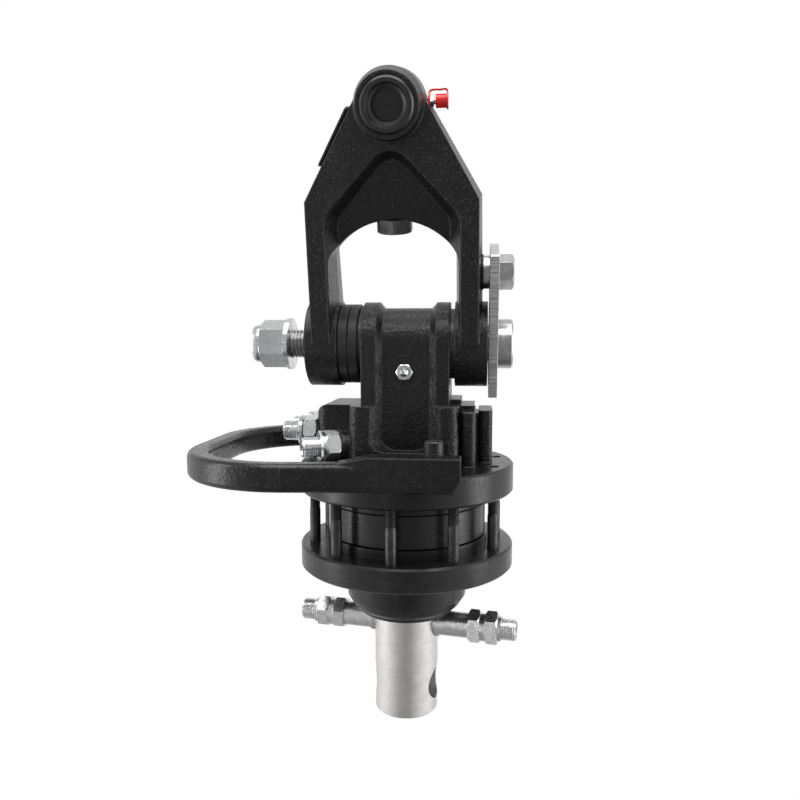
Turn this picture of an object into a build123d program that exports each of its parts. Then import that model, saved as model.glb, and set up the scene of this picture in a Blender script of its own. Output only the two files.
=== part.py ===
from build123d import *
import os
from math import asin, atan2, cos, hypot, radians, sin, sqrt

# Hydraulic rotator that hangs from a crane tip by a cast link.
# Millimetres, +Z up, origin at the middle of the crane pin bore.
# The pivot pin lies along X. The link leans about it and the rotator hangs plumb.

# Main places
pivot_distance = 170.0
link_lean = 18.0
link_offset = 6.0
rotor_turn = -9.5

# Fits
running_clearance = 0.05
fixed_clearance = 0.03
soft_clearance = 0.3
side_play = 0.25

# Link casting, seen from the front, heights counted up from the pivot pin
arm_half_width = 63.4
shoulder_inset = 1.4
arm_width = 19.4
arm_draft = 5.0
arm_end_height = 7.0
shoulder_height = 110.0
crown_radius = 23.4
crown_half_thickness = 15.0
ear_radius = 32.0
arm_foot_radius = 33.4
ear_proud = 3.6
ear_length = 24.0
arch_bulge = 9.3
arch_top = 94.0
arch_corner_radius = 12.0
web_half_thickness = 9.0
pocket_rim = 16.0
pocket_shoulder = 99.0
pocket_peak = 149.0
pocket_peak_radius = 16.0
pocket_corner_radius = 16.0
pocket_slope = 26.0

# Crane pin boss
hub_base_radius = 23.8
hub_base_half = 13.6
hub_face_radius = 21.0
hub_face_half = 26.5
crane_bore_radius = 15.05
crane_bush_wall = 2.5
crane_bush_half = 16.0

# Bore plug
plug_recess_radius = 18.2
plug_rim_inner = 12.8
plug_floor_radius = 10.6
plug_floor = 2.4
plug_rim_proud = 1.6
plug_dish_depth = 6.0

# Crane grease nipple and its captive cap
nipple_rise = 1.0
nipple_pad = 1.8
nipple_seat_radius = 7.2
nipple_thread_radius = 3.0
nipple_thread_length = 7.2
nipple_hex = 7.0
nipple_hex_height = 4.0
nipple_neck_radius = 2.0
nipple_head_radius = 3.1
nipple_length = 11.0
cap_radius = 4.5
cap_lift = 5.2
cap_length = 8.4
strap_width = 3.4
strap_thickness = 1.3
strap_ring_radius = 6.2
strap_ring_height = 1.5
strap_rise = 1.4

# Pivot pin and its fasteners, along X from the link's centre plane
pin_radius = 14.0
pin_thread_radius = 11.0
pin_thread_inset = 6.0
pin_thread_past_washer = 26.0
pin_head_radius = 18.5
pin_head_height = 11.2
nut_across_flats = 32.0
nut_height = 20.5
nut_collar_radius = 14.6
nut_collar_height = 6.5
nut_stand_off = 19.0
pin_washer_radius = 19.8
pin_washer_thickness = 3.0

# Lock plate and its bolt
lock_plate_gap = 1.0
lock_plate_thickness = 6.5
lock_plate_half_width = 20.0
lock_plate_top = 71.8
lock_plate_bottom = -36.0
lock_plate_corner = 1.2
lock_bolt_height = 54.8
lock_bolt_radius = 7.0
lock_bolt_hex = 22.0
lock_bolt_head = 10.8
lock_bolt_bite = 17.0
lock_spacer_radius = 12.0

# Bolt under the arch that locks the crane pin
arch_bolt_radius = 8.0
arch_bolt_hex = 24.0
arch_bolt_head = 10.0
arch_bolt_spot_depth = 0.5
arch_bolt_length = 50.0
arch_bolt_spot_radius = 14.5

# Head casting, from the rotator axis and the pivot pin
left_stack = 18.0
right_stack = 3.5
lug_radius = 31.5
lug_groove_radius = 27.0
lug_rib_left = 15.0
lug_rib_right = 14.0
lug_groove_slope = 0.9
lug_groove_bottom = -78.5
lug_groove_flat = 17.5
spot_face_radius = 12.0
spot_face_depth = 0.7
body_left = -41.0
body_right = 42.0
body_half_depth = 37.0
body_top = -45.3
body_corner = 9.0
body_draft = 2.0
flange_radius = 81.6
upper_flange_top = -89.1
upper_flange_bottom = -110.7
flange_edge = 1.5
gallery_left = -71.5
gallery_front = 0.5
gallery_back = 30.0
gallery_wing_back = 60.0
gallery_wing_right = -45.0
gallery_top = -47.5
gallery_depth = 36.0
gallery_round = 9.0
right_pad_width = 8.5
right_pad_top = -41.5
right_pad_height = 13.0
right_step_width = 10.0
right_step_top = -46.0
post_width = 10.4
post_pitch = 12.4
post_first_right = 53.0
post_top = -49.6
post_fronts = (-32.0, -12.0)
post_back = 30.0
post_round = 4.2
post_web_top = -52.0

# Pivot bushes, brake discs and thrust rings
pivot_bush_wall = 3.0
pivot_bush_gap = 10.5
brake_disc_radius = 30.0
brake_disc_thickness = 7.3
thrust_ring_radius = 26.5

# Hose guard
guard_bar_width = 16.0
guard_front = 103.0
guard_left = -158.5
guard_right = 43.8
guard_corner = 80.0
guard_splay = 15.0
guard_bottom = -94.5
guard_top = -75.5
guard_edge = 4.5
guard_pad_top = -71.2
guard_pad_start = -37.0
guard_pad_flat = -16.0
guard_end_cut = 6.0
guard_end_drop = 10.5
guard_lug_thickness = 12.6
guard_lug_overlap = 26.1
guard_screw_x = 24.6
guard_screw_inset = 15.6
guard_screw_bite = 14.0
m8_radius = 4.0
m8_head_radius = 6.5
m8_head_height = 8.0
m8_socket = 6.0
m8_washer_radius = 8.0
m8_washer_thickness = 1.6
m8_spring_washer_thickness = 2.0

# Hose adapters
upper_thread_radius = 8.0
upper_hex = 22.0
upper_collar_radius = 12.3
upper_bore_radius = 5.0
upper_seal_radius = 11.2
front_port_x = -48.5
front_port_y = -24.5
front_port_z = -76.2
front_port_turn = 24.0
port_boss_radius = 12.4
side_port_ys = (14.0, 46.0)
side_port_z = -69.6
rear_port_x = -22.0
rear_port_z = -71.0
adapter_stud = 9.0
adapter_seal = 0.8
adapter_hex_length = 10.4
adapter_collar_length = 4.4
adapter_thread_length = 12.9

# Motor between the flanges
lower_flange_top = -150.5
lower_flange_bottom = -168.4
spigot_wall = 9.0
spigot_top = -144.0
upper_spigot_bottom = -119.0
ring_bolt_gap = 10.5
ring_edge = 1.0
cam_thin_wall = 11.5
cam_thick_wall = 16.6
drum_tip_gap = 0.7
drum_slot_width = 4.0
drum_slot_depth = 11.0
vane_count = 8
vane_length = 9.5
vane_side_gap = 0.04
drum_end_play = 0.15
thrust_washer_width = 14.4
thrust_washer_thickness = 2.5

# Long bolts
bolt_circle_inset = 10.6
bolt_count = 10
bolt_phase = -93.5
bolt_tip = -92.5
bolt_hole_clearance = 0.4
counterbore_depth = 8.6
counterbore_clearance = 0.5
tapped_clearance = 0.03

# Seal hub under the lower flange
hub_radius = 46.0
hub_straight_bottom = -193.5
hub_nose_radius = 38.0
hub_bottom = -203.5
wiper_radius = 36.0
wiper_height = 2.6
seal_outer_radius = 33.0
seal_height = 7.0

# Lower bearing
bearing_top = -149.0
bearing_height = 18.0
inner_race_wall = 4.5
roller_radius = 3.0
roller_count = 14
outer_race_wall = 4.5

# Shaft
shaft_radius = 24.75
shaft_seat_radius = 25.0
shaft_bottom = -287.1
shaft_edge = 1.2
shaft_neck_bottom = -228.5
shaft_pilot_bottom = -250.5
shaft_relief = 0.35
cross_bore_radius = 12.6
cross_bore_height = 21.8
upper_journal_radius = 22.0
upper_journal_top = -64.0
upper_bush_wall = 4.0
upper_bush_length = 18.0
groove_count = 3
groove_pitch = 7.0
groove_height = 3.0
groove_depth = 2.5
groove_first = -70.0

# Lower pipes and adapters
pipe_height = -217.0
pipe_radius = 9.5
pipe_bore_radius = 6.5
pipe_inner_end = 18.5
pipe_outer_end = 50.0
pipe_weld_radius = 10.6
pipe_nut_hex = 22.0
pipe_nut_length = 9.0
lower_hex_length = 9.5
lower_collar_radius = 10.6
lower_collar_length = 4.0
lower_thread_radius = 8.33
lower_thread_length = 11.5
lower_bore_radius = 5.0

lean = radians(link_lean)
link_frame = Rot(link_lean, 0, 0) * Pos(0, 0, -pivot_distance)
head_frame = Pos(link_offset, pivot_distance * sin(lean), -pivot_distance * cos(lean))
rotor_frame = head_frame * Rot(0, 0, rotor_turn)

os.makedirs("parts", exist_ok=True)


def save(name, shape, frame):
    export_step(frame * shape, f"parts/{name}.step")


def block(x0, x1, y0, y1, z0, z1):
    centre = Pos((x0 + x1) / 2, (y0 + y1) / 2, (z0 + z1) / 2)
    return centre * Box(abs(x1 - x0), abs(y1 - y0), abs(z1 - z0))


def rod_x(radius, x0, x1, y=0.0, z=0.0):
    return Pos((x0 + x1) / 2, y, z) * Rot(0, 90, 0) * Cylinder(radius, abs(x1 - x0))


def rod_y(radius, y0, y1, x=0.0, z=0.0):
    return Pos(x, (y0 + y1) / 2, z) * Rot(90, 0, 0) * Cylinder(radius, abs(y1 - y0))


def rod_z(radius, z0, z1, x=0.0, y=0.0):
    return Pos(x, y, (z0 + z1) / 2) * Cylinder(radius, abs(z1 - z0))


def ring_z(outer, inner, z0, z1):
    return rod_z(outer, z0, z1) - rod_z(inner, z0 - 1, z1 + 1)


def ring_x(outer, inner, x0, x1, y=0.0, z=0.0):
    low, high = min(x0, x1), max(x0, x1)
    return rod_x(outer, low, high, y, z) - rod_x(inner, low - 1, high + 1, y, z)


def turned(points, axis):
    """Solid of revolution about X, Y or Z from (radius, height) points."""
    outline = make_face(Polyline(*points, close=True))
    if axis == "z":
        return revolve(Plane.XZ * outline, Axis.Z)
    if axis == "y":
        return revolve(outline, Axis.Y)
    return revolve(Plane((0, 0, 0), x_dir=(0, 0, 1), z_dir=(0, 1, 0)) * outline, Axis.X)


def hex_x(across_flats, x0, x1, turn=0.0):
    """Hexagon along X with its six corners turned down at the outer face."""
    low, high = min(x0, x1), max(x0, x1)
    corner = across_flats / sqrt(3)
    bar = extrude(Plane.YZ * RegularPolygon(corner, 6), amount=high - low)
    bar = Pos(low, 0, 0) * Rot(turn, 0, 0) * bar
    trim = across_flats * 0.06
    face, back = (high, low) if abs(x1) > abs(x0) else (low, high)
    step = trim if face > back else -trim
    points = ((0, back), (corner, back), (corner, face - step), (corner - 1.6 * trim, face), (0, face))
    return bar & turned(points, "x")


def tangent_point(corner, centre, radius, side):
    """Where a line from the corner touches the circle on the given side."""
    run, rise = centre[0] - corner[0], centre[1] - corner[1]
    reach = hypot(run, rise)
    angle = atan2(rise, run) - side * asin(radius / reach)
    length = sqrt(reach ** 2 - radius ** 2)
    return corner[0] + length * cos(angle), corner[1] + length * sin(angle)


def around(shape, count, radius, phase=0.0):
    """Copies of a shape on a circle, as separate solids."""
    return [Rot(0, 0, phase + i * 360 / count) * Pos(radius, 0, 0) * shape for i in range(count)]


# Sizes that follow from the ones above
shoulder_half_width = arm_half_width - shoulder_inset
arm_inner_half = arm_half_width - arm_width
ear_outer = arm_half_width + ear_proud
ear_inner = ear_outer - ear_length
arch_radius = arm_inner_half + arch_bulge
pocket_half_width = arm_half_width - pocket_rim
nipple_height = pivot_distance + nipple_rise
nipple_seat = crown_radius + nipple_pad
cap_start = nipple_seat + cap_lift
cap_end = cap_start + cap_length
nut_face = -ear_outer - nut_stand_off
pin_thread_start = -ear_outer + pin_thread_inset
pin_thread_end = nut_face - pin_thread_past_washer
arch_bolt_seat = arch_top + arch_bolt_spot_depth
lug_left = left_stack - ear_inner - link_offset
lug_right = ear_inner - link_offset - right_stack
lug_groove_left = lug_left + lug_rib_left
lug_groove_right = lug_right - lug_rib_right
lug_groove_corner = (lug_groove_right - lug_groove_left - lug_groove_flat) / 2
pivot_bush_length = (lug_right - lug_left - pivot_bush_gap) / 2
guard_lug_inner = flange_radius - guard_lug_overlap
guard_screw_y = flange_radius - guard_screw_inset
bolt_circle_radius = flange_radius - bolt_circle_inset
spigot_radius = bolt_circle_radius - spigot_wall
ring_radius = bolt_circle_radius - ring_bolt_gap
cam_long_radius = ring_radius - cam_thin_wall
cam_short_radius = ring_radius - cam_thick_wall
drum_radius = cam_short_radius - drum_tip_gap
crane_bush_radius = crane_bore_radius + crane_bush_wall
lock_plate_inner = ear_outer + lock_plate_gap
lock_plate_outer = lock_plate_inner + lock_plate_thickness
pivot_bush_radius = pin_radius + running_clearance + pivot_bush_wall
arch_centre = arch_top - arch_radius


def arms_outline():
    """Front view of the link: crown, slanted shoulders, arms and arched window."""
    shoulder = (shoulder_half_width, shoulder_height)
    touch = tangent_point(shoulder, (0, pivot_distance), crown_radius, 1)
    right = [(arm_half_width, arm_end_height), shoulder, touch]
    left = [(-x, z) for x, z in reversed(right)]
    outline = make_face(Polyline(*right, *left, close=True)) + Pos(0, pivot_distance) * Circle(crown_radius)
    spring = arch_centre + sqrt(arch_radius ** 2 - arm_inner_half ** 2)
    window = make_face(
        Line((-arm_inner_half, -ear_radius), (-arm_inner_half, spring))
        + ThreePointArc((-arm_inner_half, spring), (0, arch_top), (arm_inner_half, spring))
        + Line((arm_inner_half, spring), (arm_inner_half, -ear_radius))
        + Line((arm_inner_half, -ear_radius), (-arm_inner_half, -ear_radius))
    )
    corners = window.vertices().sort_by(Axis.Y)[-2:]
    return outline - fillet(corners, arch_corner_radius)


def side_outline():
    """Side view of the link: round foot, and flanks that close in towards the crown."""
    front = (crown_half_thickness, pivot_distance)
    touch = tangent_point(front, (0, 0), arm_foot_radius, -1)
    above = pivot_distance + 2 * crown_radius
    right = [touch, front, (crown_half_thickness, above)]
    left = [(-y, z) for y, z in reversed(right)]
    return make_face(Polyline(*right, *left, close=True)) + Circle(arm_foot_radius)


def web_pocket():
    """Sloped pocket sunk from the front face of the link down to the web."""
    lean_back = asin(arm_foot_radius / hypot(pivot_distance, crown_half_thickness))
    lean_back -= atan2(crown_half_thickness, pivot_distance)
    face = Plane((0, -crown_half_thickness, pivot_distance), x_dir=(1, 0, 0), z_dir=(0, cos(lean_back), -sin(lean_back)))
    points = [
        (-pocket_half_width, 0), (-pocket_half_width, pocket_shoulder), (0, pocket_peak),
        (pocket_half_width, pocket_shoulder), (pocket_half_width, 0),
    ]
    drawn = [(x, (pivot_distance - z) / cos(lean_back)) for x, z in points]
    outline = make_face(Polyline(*drawn, close=True))
    peak = outline.vertices().sort_by(Axis.Y)[:1]
    outline = fillet(peak, pocket_peak_radius)
    corners = outline.vertices().filter_by(lambda v: abs(v.Y - drawn[1][1]) < 0.01)
    outline = fillet(corners, pocket_corner_radius)
    sunk = extrude(face * outline, amount=arm_foot_radius, taper=pocket_slope)
    sunk += extrude(face * outline, amount=-arm_foot_radius)
    reach = 2 * pivot_distance
    return sunk & block(-reach, reach, -reach, -web_half_thickness, -reach, reach)


def link_yoke():
    reach = arm_foot_radius + 1
    front_form = extrude(Plane.XZ * arms_outline(), amount=reach, both=True, taper=arm_draft)
    side_form = extrude(Plane.YZ * side_outline(), amount=arm_half_width + 10, both=True)
    casting = front_form & side_form
    pocket = web_pocket()
    casting -= pocket
    casting -= mirror(pocket, Plane.XZ)
    for side in (-1, 1):
        casting += rod_x(ear_radius, side * ear_inner, side * ear_outer)
    hub_profile = (
        (0, -hub_face_half), (hub_face_radius, -hub_face_half), (hub_base_radius, -hub_base_half),
        (hub_base_radius, hub_base_half), (hub_face_radius, hub_face_half), (0, hub_face_half),
    )
    casting += Pos(0, 0, pivot_distance) * turned(hub_profile, "y")
    boss_start = arm_half_width - lock_bolt_bite
    casting += rod_x(lock_spacer_radius + 1, boss_start, arm_half_width, z=lock_bolt_height)
    casting -= rod_y(crane_bush_radius + fixed_clearance, -hub_face_half - 1, hub_face_half + 1, z=pivot_distance)
    for side in (-1, 1):
        casting -= rod_y(plug_recess_radius, side * crane_bush_half, side * (hub_face_half + 1), z=pivot_distance)
    casting -= rod_x(pin_radius + fixed_clearance, -ear_outer - 1, ear_outer + 1)
    casting -= rod_x(lock_bolt_radius + tapped_clearance, boss_start + 1, ear_outer, z=lock_bolt_height)
    casting -= rod_z(arch_bolt_spot_radius, arch_bolt_seat - 2 * arch_bolt_head, arch_bolt_seat)
    casting -= rod_z(arch_bolt_radius + tapped_clearance, arch_bolt_seat - 1, arch_bolt_seat + arch_bolt_length + 1)
    seat_end = nipple_seat + nipple_length + cap_end
    casting -= rod_x(nipple_seat_radius, nipple_seat, seat_end, z=nipple_height)
    hole_start = nipple_seat - nipple_thread_length - 0.5
    casting -= rod_x(nipple_thread_radius + tapped_clearance, hole_start, nipple_seat + 1, z=nipple_height)
    return casting


def crane_bush():
    profile = (
        (crane_bore_radius, -crane_bush_half), (crane_bush_radius, -crane_bush_half),
        (crane_bush_radius, crane_bush_half), (crane_bore_radius, crane_bush_half),
    )
    return Pos(0, 0, pivot_distance) * turned(profile, "y")


def bore_plug():
    """Dished push-in plug that keeps dirt out of the greased bore until it is fitted."""
    rim = plug_recess_radius - soft_clearance
    inner = -(crane_bush_half + soft_clearance)
    face = -hub_face_half
    top = face - plug_rim_proud
    floor = inner - plug_floor
    step = floor - plug_dish_depth
    profile = (
        (0, inner), (rim - 1.0, inner), (rim, inner - 1.0), (rim, face), (rim - 1.4, top),
        (plug_rim_inner + 1.2, top), (plug_rim_inner, face), (plug_rim_inner, step),
        (plug_floor_radius, step + 1.2), (plug_floor_radius, floor), (0, floor),
    )
    return Pos(0, 0, pivot_distance) * turned(profile, "y")


def crane_nipple():
    end = nipple_seat + nipple_length
    body = rod_x(nipple_thread_radius, nipple_seat - nipple_thread_length, nipple_seat)
    body += hex_x(nipple_hex, nipple_seat, nipple_seat + nipple_hex_height)
    body += rod_x(nipple_neck_radius, nipple_seat, end - 3.5)
    profile = ((0, end - 3.8), (nipple_head_radius, end - 3.2), (nipple_head_radius, end - 2.0), (1.2, end), (0, end))
    body += turned(profile, "x")
    return Pos(0, 0, nipple_height) * body


def nipple_cap():
    inner = nipple_head_radius + soft_clearance
    end = nipple_seat + nipple_length
    cup = rod_x(cap_radius, cap_start, cap_end)
    cup -= rod_x(inner, cap_start - 1, end + soft_clearance)
    cup += rod_x(cap_radius + 0.9, cap_end - 1.2, cap_end)
    return Pos(0, 0, nipple_height) * cup


def nipple_strap():
    """Ring round the nipple's hexagon and the strap that arches over to the cap."""
    hole = nipple_hex / sqrt(3) + soft_clearance
    ring_start = nipple_seat + 0.1
    ring_end = ring_start + strap_ring_height
    ring = ring_x(strap_ring_radius, hole, ring_start, ring_end)
    span_start = ring_start + strap_thickness / 2
    span_end = cap_end - strap_thickness / 2
    rise = cap_radius + 0.9 + soft_clearance
    middle = (span_start + span_end) / 2
    path = Plane.XZ * Spline(
        (span_start, strap_ring_radius - 1.2), (middle - 2.6, rise + strap_rise), (middle + 2.6, rise + strap_rise), (span_end, rise),
        tangents=((0.2, 1), (0.1, -1)),
    )
    section = Plane(path @ 0, x_dir=(0, 1, 0), z_dir=path % 0) * Rectangle(strap_width, strap_thickness)
    return Pos(0, 0, nipple_height) * (ring + sweep(section, path))


def pivot_pin():
    pin = rod_x(pin_radius, pin_thread_start, lock_plate_outer)
    head_end = lock_plate_outer + pin_head_height
    profile = (
        (0, lock_plate_outer), (pin_head_radius, lock_plate_outer), (pin_head_radius, head_end - 1.2),
        (pin_head_radius - 1.2, head_end), (0, head_end),
    )
    pin += turned(profile, "x")
    thread = (
        (0, pin_thread_start + 1), (pin_thread_radius, pin_thread_start + 1),
        (pin_thread_radius, pin_thread_end + 1.6), (pin_thread_radius - 1.6, pin_thread_end), (0, pin_thread_end),
    )
    return pin + turned(thread, "x")


def pivot_nut():
    """Lock nut with a domed collar over its plastic insert."""
    crown = nut_face - nut_height
    nut = hex_x(nut_across_flats, nut_face, crown, turn=6)
    end = crown - nut_collar_height
    collar = (
        (0, crown + 1), (nut_collar_radius, crown + 1), (nut_collar_radius, end + 2.6),
        (nut_collar_radius - 1.0, end + 0.8), (nut_collar_radius - 2.6, end), (0, end),
    )
    nut += turned(collar, "x")
    nut -= rod_x(pin_thread_radius + tapped_clearance, end - 1, nut_face + 1)
    return nut


def pivot_washer():
    return ring_x(pin_washer_radius, pin_thread_radius + tapped_clearance, nut_face, nut_face + pin_washer_thickness)


def lock_plate():
    """Flame-cut plate that ties the pin's head to the right arm."""
    cut = lock_plate_corner
    half = lock_plate_half_width
    top, bottom = lock_plate_top, lock_plate_bottom
    points = (
        (-half, bottom + cut / 2), (-half, top - cut), (-half + cut, top), (half - cut, top), (half, top - cut),
        (half, bottom + cut / 2), (half - cut / 2, bottom), (-half + cut / 2, bottom),
    )
    plate = Pos(lock_plate_inner, 0, 0) * extrude(
        Plane.YZ * make_face(Polyline(*points, close=True)), amount=lock_plate_thickness)
    plate -= rod_x(pin_radius + fixed_clearance, lock_plate_inner - 1, lock_plate_outer + 1)
    plate -= rod_x(lock_bolt_radius + fixed_clearance, lock_plate_inner - 1, lock_plate_outer + 1, z=lock_bolt_height)
    return plate


def lock_spacer():
    hole = lock_bolt_radius + fixed_clearance
    return ring_x(lock_spacer_radius, hole, arm_half_width, lock_plate_inner, z=lock_bolt_height)


def lock_bolt():
    head_end = lock_plate_outer + lock_bolt_head
    start = arm_half_width - lock_bolt_bite + 2
    bolt = hex_x(lock_bolt_hex, lock_plate_outer, head_end, turn=14) + rod_x(lock_bolt_radius, start, lock_plate_outer)
    return Pos(0, 0, lock_bolt_height) * bolt


def arch_bolt():
    """Hexagon bolt that screws up towards the crane bore, in the link's centre plane."""
    head = hex_x(arch_bolt_hex, 0, arch_bolt_head)
    bolt = head + rod_x(arch_bolt_radius, -arch_bolt_length, 0)
    return Pos(0, 0, arch_bolt_seat) * Rot(0, 90, 0) * bolt


save("link_yoke", link_yoke(), link_frame)
save("crane_bush", crane_bush(), link_frame)
save("bore_plug", bore_plug(), link_frame)
save("crane_grease_nipple", crane_nipple(), link_frame)
save("nipple_cap", nipple_cap(), link_frame)
save("nipple_cap_strap", nipple_strap(), link_frame)
save("pivot_pin", pivot_pin(), link_frame)
save("pivot_lock_nut", pivot_nut(), link_frame)
save("pivot_washer", pivot_washer(), link_frame)
save("lock_plate", lock_plate(), link_frame)
save("lock_plate_spacer", lock_spacer(), link_frame)
save("lock_plate_bolt", lock_bolt(), link_frame)
save("arch_bolt", arch_bolt(), link_frame)


# Brake discs and thrust rings fill the side play between the lug and the ears.
left_ear_face = -ear_inner - link_offset
right_ear_face = ear_inner - link_offset


def brake_disc(start):
    disc = ring_x(brake_disc_radius, pin_radius + running_clearance, start, start + brake_disc_thickness)
    edges = disc.edges().filter_by(GeomType.CIRCLE).filter_by(lambda e: e.radius > pin_radius + 1)
    return chamfer(edges, 0.6)


outer_disc_start = left_ear_face
inner_disc_start = outer_disc_start + brake_disc_thickness + side_play
left_ring_start = inner_disc_start + brake_disc_thickness
save("brake_disc_outer", brake_disc(outer_disc_start), head_frame)
save("brake_disc_inner", brake_disc(inner_disc_start), head_frame)
thrust_hole = pin_radius + running_clearance
save("thrust_ring_left", ring_x(thrust_ring_radius, thrust_hole, left_ring_start, lug_left), head_frame)
right_ring_end = right_ear_face - side_play
save("thrust_ring_right", ring_x(thrust_ring_radius, thrust_hole, lug_right, right_ring_end), head_frame)


def lug_groove():
    """Sloped groove that runs down the front, over the top and down the back of the lug."""
    deep = lug_radius * 0.5
    spread = deep * lug_groove_slope
    profile = [
        (lug_groove_left, lug_groove_radius), (lug_groove_right, lug_groove_radius),
        (lug_groove_right + spread, lug_groove_radius + deep), (lug_groove_left - spread, lug_groove_radius + deep),
    ]
    section = make_face(Polyline(*[(x, -r) for x, r in profile], close=True))
    front = extrude(section, amount=lug_groove_bottom)
    corners = front.edges().group_by(Axis.Z)[0]
    ends = corners.filter_by(lambda e: abs(e.center().X - (lug_groove_left + lug_groove_right) / 2) > 10)
    front = fillet(ends, lug_groove_corner)
    over = revolve(section, Axis((0, 0, 0), (-1, 0, 0)), 180)
    return front + over + mirror(front, Plane.XZ)


def lug_outline(radius):
    return Circle(radius) + Pos(0, upper_flange_top / 2) * Rectangle(2 * radius, -upper_flange_top)


front_port = Pos(front_port_x, front_port_y, front_port_z) * Rot(0, 0, front_port_turn)
side_ports = [Pos(gallery_left, y, side_port_z) for y in side_port_ys]
rear_port = Pos(rear_port_x, body_half_depth, rear_port_z) * Rot(0, 0, -90)
upper_ports = [front_port, *side_ports, rear_port]


def port_cut():
    """Drilling behind a port's face; the face looks along -X."""
    return rod_x(upper_thread_radius + tapped_clearance, -0.5, adapter_stud + 2)


def head_casting():
    width = body_right - body_left
    middle = (body_left + body_right) / 2
    foot = Pos(middle, 0, upper_flange_top) * RectangleRounded(width, 2 * body_half_depth, body_corner)
    casting = extrude(foot, amount=body_top - upper_flange_top, taper=body_draft)
    lug = extrude(Plane.YZ * lug_outline(lug_radius), amount=lug_right - lug_left)
    casting += Pos(lug_left, 0, 0) * lug
    casting -= lug_groove()
    gallery = block(gallery_left, 0, gallery_front, gallery_back, gallery_top - gallery_depth, gallery_top)
    gallery += block(gallery_left, gallery_wing_right, gallery_front, gallery_wing_back,
                     gallery_top - gallery_depth, gallery_top)
    outer = gallery.edges().filter_by(lambda e: e.center().X < gallery_left + 1)
    casting += fillet(outer, gallery_round)
    casting += front_port * rod_x(port_boss_radius, 0, body_right)
    casting += rear_port * rod_x(port_boss_radius, 0, body_half_depth)
    pad_right = lug_right + right_pad_width
    step_right = pad_right + right_step_width
    pad_front = post_fronts[1]
    casting += block(0, pad_right, pad_front, post_back, right_pad_top - right_pad_height, right_pad_top)
    casting += block(0, step_right, pad_front, post_back, upper_flange_top - 1, right_step_top)
    for i, front in enumerate(post_fronts):
        right = post_first_right + i * post_pitch
        post = block(right - post_width, right, front, post_back, upper_flange_top - 1, post_top)
        casting += fillet(post.edges().filter_by(Axis.Z), post_round)
        casting += block(0, right - post_round, pad_front + post_round, post_back - post_round,
                         upper_flange_top - 1, post_web_top)
    flange_edges = (
        (0, upper_spigot_bottom), (ring_radius, upper_spigot_bottom), (ring_radius, upper_flange_bottom),
        (flange_radius - flange_edge, upper_flange_bottom),
        (flange_radius, upper_flange_bottom + flange_edge), (flange_radius, upper_flange_top - flange_edge),
        (flange_radius - flange_edge, upper_flange_top), (0, upper_flange_top),
    )
    casting += turned(flange_edges, "z")
    casting -= rod_x(pivot_bush_radius + fixed_clearance, lug_left - 1, lug_right + 1)
    casting -= rod_y(spot_face_radius, -lug_radius - 5, -lug_groove_radius + spot_face_depth, x=1, z=lug_nipple_z)
    nipple_hole = nipple_thread_radius + tapped_clearance
    casting -= rod_y(nipple_hole, -lug_groove_radius, -lug_groove_radius + 9.5, x=1, z=lug_nipple_z)
    for port in upper_ports:
        casting -= port * port_cut()
    casting -= rod_z(upper_journal_radius + running_clearance, upper_spigot_bottom - 1, upper_journal_top + 1)
    bush_pocket = upper_journal_radius + running_clearance + upper_bush_wall + fixed_clearance
    casting -= rod_z(bush_pocket, upper_spigot_bottom - 1, upper_spigot_bottom + upper_bush_length)
    for hole in around(rod_z(m8_radius + tapped_clearance, upper_flange_bottom - 1, upper_flange_top + 1),
                       bolt_count, bolt_circle_radius, bolt_phase):
        casting -= hole
    for side in (-1, 1):
        screw_bottom = upper_flange_top - guard_screw_bite
        casting -= rod_z(m8_radius + tapped_clearance, screw_bottom - 1, upper_flange_top + 1,
                         guard_screw_x, side * guard_screw_y)
    return casting


lug_nipple_z = -20.3


def lug_nipple():
    """Grease nipple on the spot face in the front of the lug."""
    seat = -lug_groove_radius + spot_face_depth
    body = rod_x(nipple_thread_radius, -nipple_thread_length, 0)
    body += hex_x(11.0, 0, 5.0)
    body += rod_x(nipple_neck_radius, 0, 8.0)
    body += turned(((0, 7.2), (nipple_head_radius, 7.8), (nipple_head_radius, 9.0), (1.2, 11.0), (0, 11.0)), "x")
    return Pos(1, seat, lug_nipple_z) * Rot(0, 0, -90) * body


def hose_adapter(thread_radius, across_flats, bore):
    """Double-ended adapter that points along -X from its sealing face at zero."""
    hex_end = -adapter_seal - adapter_hex_length
    collar_end = hex_end - adapter_collar_length
    tip = collar_end - adapter_thread_length
    body = rod_x(thread_radius, -adapter_seal, adapter_stud)
    body += hex_x(across_flats, -adapter_seal, hex_end, turn=13)
    collar = (
        (0, hex_end), (upper_collar_radius - 0.8, hex_end), (upper_collar_radius, hex_end - 0.8),
        (upper_collar_radius, collar_end + 1.2), (upper_collar_radius - 1.2, collar_end), (0, collar_end),
    )
    body += turned(collar, "x")
    end = (
        (0, collar_end + 0.5), (thread_radius, collar_end + 0.5), (thread_radius, tip + 1.4),
        (thread_radius - 1.2, tip), (0, tip),
    )
    body += turned(end, "x")
    return body - rod_x(bore, tip - 1, adapter_stud + 1)


def adapter_seal_ring():
    return ring_x(upper_seal_radius, upper_thread_radius + tapped_clearance, -adapter_seal, 0)


def guard_outline(half_width, left, corner):
    """Plan view of one edge of the guard: legs that splay towards the bow on the left."""
    far = half_width + guard_splay
    right = [(guard_right, half_width), (guard_pad_flat, half_width), (left, far)]
    left_side = [(x, -y) for x, y in reversed(right)]
    shape = make_face(Polyline(*right, *left_side, close=True))
    corners = shape.vertices().sort_by(Axis.X)[:2]
    shape = fillet(corners, corner)
    bends = shape.vertices().filter_by(lambda v: abs(v.X - guard_pad_flat) < 0.01)
    return fillet(bends, corner)


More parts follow.
